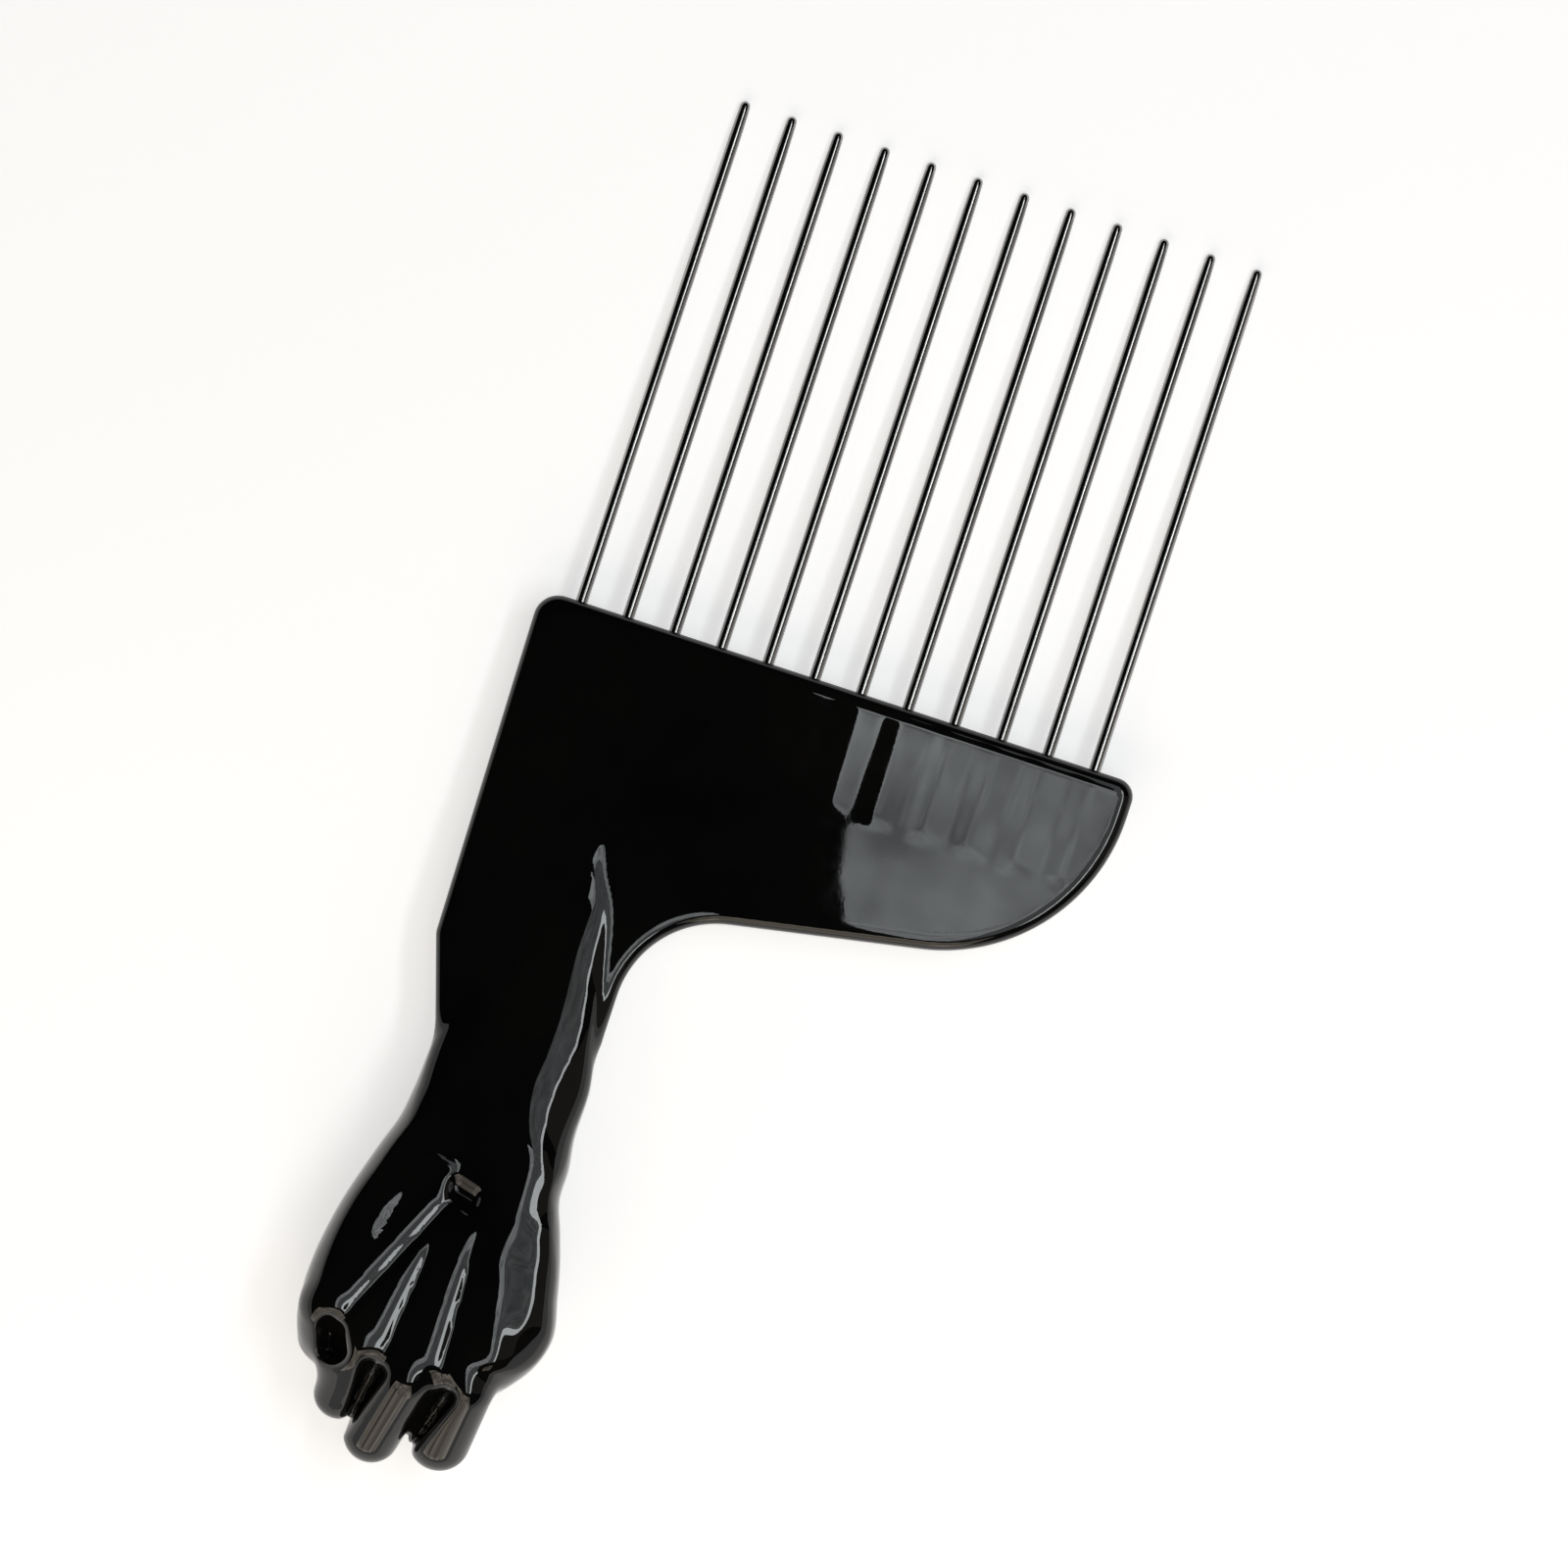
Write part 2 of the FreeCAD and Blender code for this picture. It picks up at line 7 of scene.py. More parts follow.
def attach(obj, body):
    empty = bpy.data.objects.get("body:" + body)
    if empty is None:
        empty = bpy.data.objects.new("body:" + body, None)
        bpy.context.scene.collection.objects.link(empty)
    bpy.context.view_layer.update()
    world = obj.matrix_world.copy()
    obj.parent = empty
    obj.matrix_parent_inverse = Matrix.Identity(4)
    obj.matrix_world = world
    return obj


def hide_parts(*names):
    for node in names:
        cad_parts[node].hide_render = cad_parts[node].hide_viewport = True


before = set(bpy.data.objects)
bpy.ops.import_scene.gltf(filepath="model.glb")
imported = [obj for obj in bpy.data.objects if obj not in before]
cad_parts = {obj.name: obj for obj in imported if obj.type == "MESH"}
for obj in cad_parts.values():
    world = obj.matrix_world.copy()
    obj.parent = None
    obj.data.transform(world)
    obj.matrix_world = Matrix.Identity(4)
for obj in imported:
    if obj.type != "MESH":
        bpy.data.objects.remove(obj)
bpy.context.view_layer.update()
print("frame:", len(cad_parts), "CAD nodes")

# Shapes are written flat, in mm: x across the comb, y towards the tips, z out of the back of the hand.
# On the arm, "across" counts from its centre line to the thumb side and "drop" down from the comb edge.

comb = {
    "count": 12,
    "pitch": 6.4,
    "reach": 69.1,            # comb edge to tine tip
    "embed": 16.0,
    "wire": 0.8,              # radius
    "tipLength": 7.0,
    "tipRadius": 0.68,
    "anchorLength": 5.0,
    "anchorHalf": (1.2, 0.45),
    "sides": 32,
}


def nodePoints(name):
    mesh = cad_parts[name].data
    points = np.empty(len(mesh.vertices) * 3)
    mesh.vertices.foreach_get("co", points)
    return points.reshape(-1, 3)


def tineTip(points, along):
    middle = points.mean(axis=0)
    reach = (points @ along).max() - middle @ along
    return middle + along * reach


def findRest():
    first = nodePoints("tine_01")
    last = nodePoints(f"tine_{comb['count']:02d}")
    along = np.linalg.svd(first - first.mean(axis=0), full_matrices=False)[2][0]
    along *= np.sign(along[1])
    across = np.array((1.0, 0.0, 0.0))
    origin = (tineTip(first, along) + tineTip(last, along)) / 2 - along * comb["reach"] / 1000
    turn = np.stack((across, along, np.cross(across, along)), axis=1)
    return turn, origin


restTurn, restOrigin = findRest()
print("rest: leans", round(math.degrees(math.asin(-restTurn[2, 1])), 2), "degrees")


def toFrame(points):
    return np.asarray(points, float) / 1000 @ restTurn.T + restOrigin


# Soft shapes: each returns how far a point is outside it, in mm

def softMin(a, b, soft):
    share = np.clip(0.5 + 0.5 * (b - a) / soft, 0, 1)
    return b + (a - b) * share - soft * share * (1 - share)


def softMax(a, b, soft):
    return -softMin(-a, -b, soft)


def cutOut(body, tool, soft):
    return softMax(body, -tool, soft)


def fade(value, low, high):
    t = np.clip((value - low) / (high - low), 0, 1)
    return t * t * (3 - 2 * t)


def softStep(value, soft):
    return soft * np.logaddexp(0, value / soft)


def smoothCurve(at, knots, values):
    slopes = np.gradient(values, knots)
    index = np.clip(np.searchsorted(knots, at) - 1, 0, len(knots) - 2)
    span = knots[index + 1] - knots[index]
    t = np.clip((at - knots[index]) / span, 0, 1)
    low, high = values[index], values[index + 1]
    rise = 3 * t ** 2 - 2 * t ** 3
    bend = span * (t * (1 - t) ** 2 * slopes[index] - t ** 2 * (1 - t) * slopes[index + 1])
    return low + (high - low) * rise + bend


def armPoint(across, drop, height):
    return np.array((across - arm["offset"], -drop, height))


def bone(points, start, end, startRadius, endRadius):
    axis = end - start
    t = np.clip((points - start) @ axis / (axis @ axis), 0, 1)
    gap = np.linalg.norm(points - start - t[:, None] * axis, axis=1)
    return gap - startRadius - (endRadius - startRadius) * t


def boneChain(points, joints):
    field = None
    for start, end in zip(joints, joints[1:]):
        part = bone(points, armPoint(*start[:3]), armPoint(*end[:3]), start[3], end[3])
        field = part if field is None else np.minimum(field, part)
    return field


# Blade

blade = {
    "half": 2.5,              # half the plate's thickness
    "edgeRound": 1.35,
    "left": -40.6,
    "right": 41.1,
    "leftCorner": 3.3,
    "rightCorner": 2.5,
    "wingDrop": 4.7,
    "wingRadius": 25.0,
    "wingSlope": 11.0,
    "notchRadius": 13.5,
    "heel": (-39.7, -46.8),
    "neckLeft": (-35.6, -59.5),
    "tongueLeft": (-33.0, -68.0),
    "tongueRight": (-17.0, -68.0),
    "neckRight": (-14.7, -54.0),
    "ripple": 0.016,          # the plastic swells this much over a buried wire
    "rippleWidth": (2.4, 4.0),   # left and right of the wire
    "rippleEnd": (0.6, 1.2),
    "sink": 0.004,            # slow waves left by the moulding
    "waveLengths": ((9.0, 15.0), (-23.0, 7.5)),
}


def arcPoints(centre, radius, first, last, steps=14):
    angles = np.radians(np.linspace(first, last, steps))
    return [(centre[0] + radius * math.cos(a), centre[1] + radius * math.sin(a)) for a in angles]


def bladeOutline():
    b = blade
    slope = math.radians(b["wingSlope"])
    wingCentre = (b["right"] - b["wingRadius"], -b["wingDrop"])
    wingLow = (wingCentre[0] + b["wingRadius"] * math.sin(slope),
               wingCentre[1] - b["wingRadius"] * math.cos(slope))
    notchX = b["neckRight"][0] + b["notchRadius"]
    notchHighX = notchX - b["notchRadius"] * math.sin(slope)
    notchHighY = wingLow[1] - (wingLow[0] - notchHighX) * math.tan(slope)
    notchCentre = (notchX, notchHighY - b["notchRadius"] * math.cos(slope))
    leftCentre = (b["left"] + b["leftCorner"], -b["leftCorner"])
    rightCentre = (b["right"] - b["rightCorner"], -b["rightCorner"])
    points = arcPoints(leftCentre, b["leftCorner"], 90, 180)
    points += [b["heel"], b["neckLeft"], b["tongueLeft"], b["tongueRight"], b["neckRight"]]
    points += arcPoints(notchCentre, b["notchRadius"], 180, 90 + b["wingSlope"], 24)
    points += arcPoints(wingCentre, b["wingRadius"], b["wingSlope"] - 90, 0, 32)
    points += arcPoints(rightCentre, b["rightCorner"], 0, 90)
    return np.array(points)


outline = bladeOutline()


def outlineGap(x, y):
    nearest = np.full(len(x), 1e9)
    inside = np.zeros(len(x), bool)
    for (ax, ay), (bx, by) in zip(outline, np.roll(outline, -1, axis=0)):
        ex, ey = bx - ax, by - ay
        t = np.clip(((x - ax) * ex + (y - ay) * ey) / (ex * ex + ey * ey), 0, 1)
        nearest = np.minimum(nearest, (x - ax - t * ex) ** 2 + (y - ay - t * ey) ** 2)
        crosses = (ay > y) != (by > y)
        if by != ay:
            inside ^= crosses & (x < ax + (y - ay) / (by - ay) * ex)
    return np.sqrt(nearest) * np.where(inside, -1, 1)


def plateRipple(x, y):
    place = x / comb["pitch"] + (comb["count"] - 1) / 2
    wire = np.clip(np.round(place), 0, comb["count"] - 1)
    beside = (place - wire) * comb["pitch"]
    beside = beside / np.where(beside < 0, *blade["rippleWidth"])
    below, above = blade["rippleEnd"]
    swell = blade["ripple"] * np.clip(1 - np.abs(beside), 0, 1)
    swell = swell * fade(y, -comb["embed"] - below, above - comb["embed"])
    (ax, ay), (bx, by) = blade["waveLengths"]
    wave = np.sin(x / ax + y / ay) * np.cos(x / bx + y / by)
    return swell + blade["sink"] * wave


def bladeField(points):
    x, y, z = points.T
    out = outlineGap(x, y) + blade["edgeRound"]
    up = np.abs(z) - blade["half"] - plateRipple(x, y) + blade["edgeRound"]
    corner = np.hypot(np.maximum(out, 0), np.maximum(up, 0))
    return np.minimum(np.maximum(out, up), 0) + corner - blade["edgeRound"]


# Forearm and back of the hand

arm = {
    "offset": 25.2,
    "squareness": 2.45,
    "merge": 0.8,             # into the blade
    # drop, across, half width, lift, half depth
    "stations": (
        (27.0, 2.2, 0.8, 0.0, 0.8),
        (33.0, 2.0, 3.0, 0.0, 2.6),
        (38.0, 1.2, 5.2, 0.0, 3.7),
        (46.0, 0.4, 7.8, 0.0, 5.0),
        (54.0, 0.2, 9.6, 0.0, 6.2),
        (60.0, 0.3, 10.7, 0.0, 7.0),
        (67.0, 0.1, 11.0, 0.0, 7.4),
        (71.0, 0.1, 11.55, 0.1, 7.5),
        (75.0, -0.5, 12.25, 0.3, 7.6),
        (79.0, -0.4, 13.55, 0.5, 7.8),
        (83.0, -0.3, 14.75, 0.8, 8.1),
        (87.0, -0.2, 15.65, 1.0, 8.3),
        (93.0, 0.0, 16.5, 1.0, 8.4),
        (97.0, -0.6, 15.8, 0.9, 8.2),
        (101.0, -1.4, 13.6, 0.6, 7.6),
        (105.0, -1.8, 10.0, 0.0, 5.6),
        (109.0, -2.0, 4.5, -0.5, 3.0),
    ),
    "backRoom": 2.8,          # the tube stands this much above its cut-off flat back
    "roomEnd": (95.0, 103.0),   # drop where that room fades out
    # drop, height of the flat back, across of the ridge, slope and width of the face past it, shoulder
    "back": (
        (27.0, 1.7, 2.3, 0.10, 0.3, -2.0),
        (33.0, 2.45, 2.8, 0.11, 0.4, -2.0),
        (36.5, 2.7, 3.3, 0.12, 1.8, -2.0),
        (45.0, 3.5, 4.0, 0.12, 2.9, -2.5),
        (54.0, 4.7, 4.6, 0.12, 3.7, -4.0),
        (58.0, 5.4, 4.5, 0.12, 3.2, -4.8),
        (62.0, 6.1, 4.1, 0.12, 3.1, -6.0),
        (67.0, 6.7, 5.0, 0.13, 2.5, -8.0),
        (71.0, 7.0, 6.9, 0.15, 1.6, -11.0),
        (73.5, 7.0, 7.4, 0.21, 2.6, -16.0),
        (77.5, 7.1, 7.7, 0.21, 2.7, -18.0),
        (79.5, 7.2, 7.6, 0.12, 4.4, -20.0),
        (84.5, 7.5, 7.3, 0.11, 5.4, -20.0),
        (88.5, 7.8, 8.5, 0.11, 5.0, -20.0),
        (92.0, 8.1, 9.2, 0.15, 3.8, -20.0),
        (95.0, 8.3, 9.9, 0.30, 2.0, -20.0),
        (101.0, 8.4, 10.8, 0.40, 1.0, -20.0),
        (109.0, 8.0, 11.4, 0.50, 1.0, -20.0),
    ),
    "faceBow": 0.003,
    "sideSlope": (1.0, 0.36),   # added past the face, beside the blade and below it
    "sideChange": (47.0, 56.0),   # drop where the first gives way to the second
    "sideBow": 0.012,
    "shoulderSlope": 0.45,
    "shoulderRound": 0.6,
    "ridgeRound": 0.16,
    "backRound": (1.0, 0.35),   # all along it, and at the wrist
    "wrist": ((69.5, 73.0), (78.0, 81.0)),   # drops where the wrist begins and ends
}

handBack = {
    # furrows beside the tendons: across, drop and width at each end, first and last slope
    "furrows": (
        ((-1.7, 80.8, 1.1), (-4.2, 102.0, 4.1), (0.11, 0.50)),
        ((2.9, 80.4, 1.1), (3.7, 102.0, 3.9), (0.11, 0.50)),
    ),
    "wallShare": 0.30,        # share of a furrow's width that climbs back up
    "furrowRound": 0.12,
    "furrowFade": ((0, 0.35), (0.97, 1.15)),   # shares of its length where it starts and runs out
    # the groove of the little finger: across and drop of both ends, width, slope
    "groove": ((-1.25, 78.4), (-10.65, 98.9), 2.4, 0.295),
    "grooveRound": 0.15,
    "grooveFade": ((0, 0.1), (0.95, 1.08)),
    # a flat dent beside it: both ends, width, slope
    "leaf": ((-7.3, 79.2), (-9.7, 88.2), 2.4, 0.10),
    "leafRound": 0.12,
    # the tuck below the fold of the wrist: middle, half width, depth, edge drop, slant
    "tuck": (-0.2, 2.5, 0.95, 77.0, 0.26),
    "tuckFlat": 0.65,         # share of the half width before its sides rise
    "tuckRun": (1.1, 3.6),    # from its edge down to the bottom, and back up to the hand
}

armTable = np.array(arm["stations"]).T
backTable = np.array(arm["back"]).T


def furrowDepth(across, drop, start, end, slopes):
    t = (drop - start[1]) / (end[1] - start[1])
    width = start[2] + (end[2] - start[2]) * np.clip(t, 0, 1.2)
    inward = across - start[0] - (end[0] - start[0]) * t + width / 2
    wall = handBack["wallShare"] * width
    soft = handBack["furrowRound"] * np.minimum(1, width)
    fall = np.minimum(softStep(inward, soft), width - wall)
    fall = slopes[0] * fall + (slopes[1] - slopes[0]) * fall ** 2 / width / 2
    climb = 1 - fade(inward, width - wall, width)
    begin, stop = handBack["furrowFade"]
    return fall * climb * fade(t, *begin) * (1 - fade(t, *stop))


def grooveDepth(across, drop):
    start, end, width, slope = handBack["groove"]
    t = (drop - start[1]) / (end[1] - start[1])
    inward = across - start[0] - (end[0] - start[0]) * t + width / 2
    wall = width * (1 - handBack["wallShare"])
    climb = wall / (width - wall)
    soft = handBack["grooveRound"]
    fall = softStep(inward, soft) - (1 + climb) * softStep(inward - wall, soft)
    fall = fall + climb * softStep(inward - width, soft)
    begin, stop = handBack["grooveFade"]
    return slope * fall * fade(t, *begin) * (1 - fade(t, *stop))


def leafDepth(across, drop):
    start, end, width, slope = handBack["leaf"]
    t = (drop - start[1]) / (end[1] - start[1])
    bulge = width * np.sin(np.pi * np.clip(t, 0, 1)) + 1e-6
    inward = across - start[0] - (end[0] - start[0]) * t + bulge / 2
    soft = handBack["leafRound"]
    fall = softStep(np.minimum(inward, (bulge - inward) * 4), soft) - softStep(np.zeros(1), soft)
    return slope * np.maximum(fall, 0) * (bulge > 0.3)   # none where it is too thin for the skin


def tuckDepth(across, drop):
    middle, half, depth, edge, slant = handBack["tuck"]
    line = edge + slant * (across - middle)
    down, up = handBack["tuckRun"]
    over = 1 - fade(np.abs(across - middle), half * handBack["tuckFlat"], half)
    return depth * over * fade(drop, line - down, line + down) * (1 - fade(drop, line + down, line + up))


def backHeight(across, drop):
    curves = (smoothCurve(drop, backTable[0], row) for row in backTable[1:])
    height, ridge, slope, width, shoulder = curves
    past = softStep(across - ridge, arm["ridgeRound"])
    beyond = softStep(across - ridge - width, arm["ridgeRound"])
    left = softStep(shoulder - across, arm["shoulderRound"])
    high, low = arm["sideSlope"]
    steep = high + (low - high) * fade(drop, *arm["sideChange"])
    height = height - slope * past - arm["faceBow"] * past ** 2
    height = height - steep * beyond - arm["sideBow"] * beyond ** 2
    height = height - arm["shoulderSlope"] * left - tuckDepth(across, drop)
    height = height - leafDepth(across, drop) - grooveDepth(across, drop)
    for start, end, slopes in handBack["furrows"]:
        height = height - furrowDepth(across, drop, start, end, slopes)
    return height


def armField(points):
    across = points[:, 0] + arm["offset"]
    drop = -points[:, 1]
    middle, halfWidth, lift, halfDepth = (smoothCurve(drop, armTable[0], row) for row in armTable[1:])
    power = arm["squareness"]
    wide = np.abs(across - middle) / halfWidth
    above = points[:, 2] - lift
    room = arm["backRoom"] * (1 - fade(drop, *arm["roomEnd"]))
    deep = np.abs(above) / (halfDepth + np.where(above > 0, room, 0))
    tube = ((wide ** power + deep ** power) ** (1 / power) - 1) * np.minimum(halfWidth, halfDepth)
    ends = np.maximum(armTable[0, 0] - drop, drop - armTable[0, -1])
    tube = np.maximum(tube, ends)
    begin, stop = arm["wrist"]
    common, tight = arm["backRound"]
    soft = common + (tight - common) * fade(drop, *begin) * (1 - fade(drop, *stop))
    return softMax(tube, points[:, 2] - backHeight(across, drop), soft)


# Fist

# Joints of each finger: (across, drop, lift, radius) of knuckle, middle joint, end joint, tip.
fingers = {
    "pinky": (
        (-12.5, 97.6, 4.6, 3.5),
        (-12.1, 101.3, -1.0, 3.1),
        (-12.2, 99.4, -5.2, 2.9),
        (-12.2, 92.5, -5.8, 2.6),
    ),
    "ring": (
        (-7.3, 101.6, 4.7, 3.6),
        (-7.6, 107.6, -1.2, 3.4),
        (-7.7, 104.4, -6.0, 3.2),
        (-7.2, 95.0, -6.4, 2.9),
    ),
    "middle": (
        (0.0, 103.0, 4.6, 3.9),
        (-2.0, 111.4, -1.6, 3.7),
        (-1.6, 107.4, -6.2, 3.5),
        (-0.6, 97.0, -6.4, 3.1),
    ),
    "index": (
        (7.6, 102.0, 4.4, 3.9),
        (6.6, 109.3, -1.4, 4.1),
        (6.4, 105.6, -5.9, 3.6),
        (5.6, 96.0, -6.0, 3.1),
    ),
}

fist = {
    "knuckleMerge": 1.3,
    "fingerMerge": 0.5,
    # thumb joints, as the fingers'
    "thumb": (
        (8.0, 80.5, -2.6, 4.0),
        (10.6, 94.6, -6.2, 3.7),
        (5.6, 98.4, -7.72, 3.5),
        (0.4, 101.4, -8.0, 3.1),
    ),
    "thumbMerge": 0.9,
    # hollows between the fingers: across, drop, bottom and radius at pitHeight, for both ends
    "pits": (
        ((-11.3, 100.7, 2.4, 2.4), (-10.7, 103.0, 0.4, 2.2)),
        ((-4.4, 104.0, 2.2, 2.1), (-5.8, 112.0, -3.6, 0.8)),
        ((5.4, 104.4, 2.2, 2.0), (3.0, 112.2, -3.6, 0.8)),
    ),
    "pitHeight": 5.6,
    "pitSoft": 0.8,
    # a small pinched fold beside the tuck: across, drop, radius at each end
    "creases": (
        ((-6.2, 74.6, 0.5), (-3.0, 75.6, 0.6)),
    ),
    "creaseRise": 0.10,
    "creaseMerge": 0.7,
}


def onBack(across, drop):
    return float(backHeight(np.array([across]), np.array([drop]))[0])


def pitField(points, start, end):
    x, y = points[:, 0] + arm["offset"], -points[:, 1]
    ex, ey = end[0] - start[0], end[1] - start[1]
    t = np.clip(((x - start[0]) * ex + (y - start[1]) * ey) / (ex * ex + ey * ey), 0, 1)
    beside = np.hypot(x - start[0] - t * ex, y - start[1] - t * ey)
    bottom = start[2] + (end[2] - start[2]) * t
    radius = start[3] + (end[3] - start[3]) * t
    return (beside - radius * (points[:, 2] - bottom) / fist["pitHeight"]) * 0.95   # nearly a true gap


def creaseField(points, start, end):
    ends = [armPoint(across, drop, onBack(across, drop) + fist["creaseRise"] - radius)
            for across, drop, radius in (start, end)]
    return bone(points, *ends, start[2], end[2])


def fistField(points):
    curled = None
    for joints in fingers.values():
        part = boneChain(points, joints)
        curled = part if curled is None else softMin(curled, part, fist["fingerMerge"])
    hand = softMin(armField(points), curled, fist["knuckleMerge"])
    hand = softMin(hand, boneChain(points, fist["thumb"]), fist["thumbMerge"])
    for crease in fist["creases"]:
        hand = softMin(hand, creaseField(points, *crease), fist["creaseMerge"])
    for pit in fist["pits"]:
        hand = cutOut(hand, pitField(points, *pit), fist["pitSoft"])
    return hand


def handleField(points):
    return softMin(bladeField(points), fistField(points), arm["merge"])


# Skin: a quad mesh laid on the surface of the soft shape

skin = {
    "step": 0.45,   # mm between the points of the skin
    "low": (-42.5, -117.5, -13.5),
    "high": (43.0, 2.0, 11.5),
    "rounds": 4,
    "block": 4,               # steps in a block of the coarse grid
    "nearBlock": 1.7,         # blocks from the surface that are worked out finely
    "nudge": 0.02,
}


def gridValues(axes):
    block = skin["block"]
    blocks = [axis.reshape(-1, block).mean(axis=1) for axis in axes]
    coarse = np.stack(np.meshgrid(*blocks, indexing="ij"), axis=-1).reshape(-1, 3)
    rough = handleField(coarse).reshape([len(b) for b in blocks])
    values = rough
    for level in range(3):
        values = np.repeat(values, block, axis=level)
    near = np.abs(values) < skin["step"] * block * skin["nearBlock"]
    spots = np.argwhere(near)
    points = np.stack([axis[spots[:, level]] for level, axis in enumerate(axes)], axis=1)
    values[near] = handleField(points)
    return values


def layQuads(values, axes):
    inside = values < 0
    corners = [inside[i:i - 1 or None, j:j - 1 or None, k:k - 1 or None]
               for i in (0, 1) for j in (0, 1) for k in (0, 1)]
    filled = sum(corner.astype(int) for corner in corners)
    mixed = (filled > 0) & (filled < 8)
    number = np.full(mixed.shape, -1)
    number[mixed] = np.arange(mixed.sum())
    spots = np.argwhere(mixed)
    points = np.stack([axis[spots[:, level]] + skin["step"] / 2 for level, axis in enumerate(axes)], axis=1)
    quads = []
    for level in range(3):
        ahead = np.take(inside, range(1, inside.shape[level]), axis=level)
        behind = np.take(inside, range(inside.shape[level] - 1), axis=level)
        others = [side for side in range(3) if side != level]
        for outward in (True, False):
            spots = np.argwhere((behind & ~ahead) if outward else (ahead & ~behind))
            ring = []
            for a, b in ((1, 1), (0, 1), (0, 0), (1, 0)):
                cell = spots.copy()
                cell[:, others[0]] -= a
                cell[:, others[1]] -= b
                ring.append(number[tuple(cell.T)])
            faces = np.stack(ring, axis=1)
            forward = outward != (level == 1)
            quads.append(faces if forward else faces[:, ::-1])
    return points, np.concatenate(quads)


def fieldSlope(points):
    nudge = skin["nudge"]
    return np.stack([handleField(points + step) - handleField(points - step)
                     for step in np.eye(3) * nudge], axis=1) / (2 * nudge)


def settle(points, rounds):
    for _ in range(rounds):
        gap = handleField(points)
        slope = fieldSlope(points)
        strength = np.maximum((slope ** 2).sum(axis=1), 0.05)   # keeps the step finite in creases
        move = slope * (gap / strength)[:, None]
        reach = np.linalg.norm(move, axis=1, keepdims=True)
        points = points - move * np.minimum(1, skin["step"] / np.maximum(reach, 1e-9))
    return points


def evenOut(points, quads):
    total = np.zeros_like(points)
    count = np.zeros(len(points))
    for shift in (1, -1):
        np.add.at(total, quads.ravel(), points[np.roll(quads, shift, axis=1).ravel()])
        np.add.at(count, quads.ravel(), 1)
    return total / count[:, None]


def makeHandle():
    step, block = skin["step"], skin["block"]
    axes = [np.arange(low, high + block * step, step) for low, high in zip(skin["low"], skin["high"])]
    axes = [axis[: len(axis) // block * block] for axis in axes]   # whole blocks
    points, quads = layQuads(gridValues(axes), axes)
    points = settle(points, 3)
    for _ in range(skin["rounds"]):
        points = settle(evenOut(points, quads), 1)
    points = settle(points, 2)
    mesh = bpy.data.meshes.new("handle_moulding")
    mesh.from_pydata(toFrame(points).tolist(), [], quads.tolist())
    mesh.shade_smooth()
    outward = evenOut(evenOut(fieldSlope(points), quads), quads) @ restTurn.T
    outward /= np.linalg.norm(outward, axis=1, keepdims=True)
    mesh.normals_split_custom_set_from_vertices(outward.tolist())
    piece = bpy.data.objects.new("handle_moulding", mesh)
    bpy.context.scene.collection.objects.link(piece)
    print("handle:", len(mesh.polygons), "quads")
    return piece


# Tines

def tineProfile():
    reach, tipLength = comb["reach"], comb["tipLength"]
    wire, tip = comb["wire"], comb["tipRadius"]
    rings = [(-comb["embed"], wire), (-comb["embed"] + comb["anchorLength"], wire), (0.0, wire)]
    rings += [(reach * share, wire) for share in (0.25, 0.5, 0.75)]
    shoulder = reach - tipLength
    for share in np.linspace(0, 1, 7):
        rings.append((shoulder + (tipLength - tip) * share, wire - (wire - tip) * share ** 2))
    for angle in np.radians((30, 55, 75)):
        rings.append((reach - tip + tip * math.sin(angle), tip * math.cos(angle)))
    return rings


def makeTine(index):
    sides = comb["sides"]
    across = (index - (comb["count"] - 1) / 2) * comb["pitch"]
    rings = tineProfile()
    points, faces = [], []
    for along, radius in rings:
        pressed = along < comb["anchorLength"] - comb["embed"]
        half = comb["anchorHalf"] if pressed else (radius, radius)
        for turn in np.linspace(0, 2 * math.pi, sides, endpoint=False):
            points.append((across + half[0] * math.cos(turn), along, half[1] * math.sin(turn)))
    for ring in range(len(rings) - 1):
        for side in range(sides):
            a, b = ring * sides + side, ring * sides + (side + 1) % sides
            faces.append((a, a + sides, b + sides, b))
    faces.append(tuple(range(sides)))
    faces.append(tuple(reversed(range((len(rings) - 1) * sides, len(rings) * sides))))
    name = f"wire_tine_{index + 1:02d}"
    mesh = bpy.data.meshes.new(name)
    mesh.from_pydata(toFrame(points).tolist(), [], faces)
    mesh.shade_smooth()
    piece = bpy.data.objects.new(name, mesh)
    bpy.context.scene.collection.objects.link(piece)
    return piece


# Materials

def newMaterial(name):
    material = bpy.data.materials.new(name)
    material.use_nodes = True
    nodes, links = material.node_tree.nodes, material.node_tree.links
    shader = nodes["Principled BSDF"]
    place = nodes.new("ShaderNodeTexCoord").outputs["Object"]
    return material, nodes, links, shader, place


def addNoise(nodes, links, place, scale, detail, stretch=None):
    if stretch:
        mapping = nodes.new("ShaderNodeMapping")
        mapping.inputs["Scale"].default_value = stretch
        links.new(place, mapping.inputs["Vector"])
        place = mapping.outputs["Vector"]
    noise = nodes.new("ShaderNodeTexNoise")
    noise.inputs["Scale"].default_value = scale
    noise.inputs["Detail"].default_value = detail
    links.new(place, noise.inputs["Vector"])
    return noise.outputs["Fac"]


def addRange(nodes, links, value, low, high, start=0.3, end=0.7):
    spread = nodes.new("ShaderNodeMapRange")
    for socket, amount in (("From Min", start), ("From Max", end), ("To Min", low), ("To Max", high)):
        spread.inputs[socket].default_value = amount
    links.new(value, spread.inputs["Value"])
    return spread.outputs["Result"]


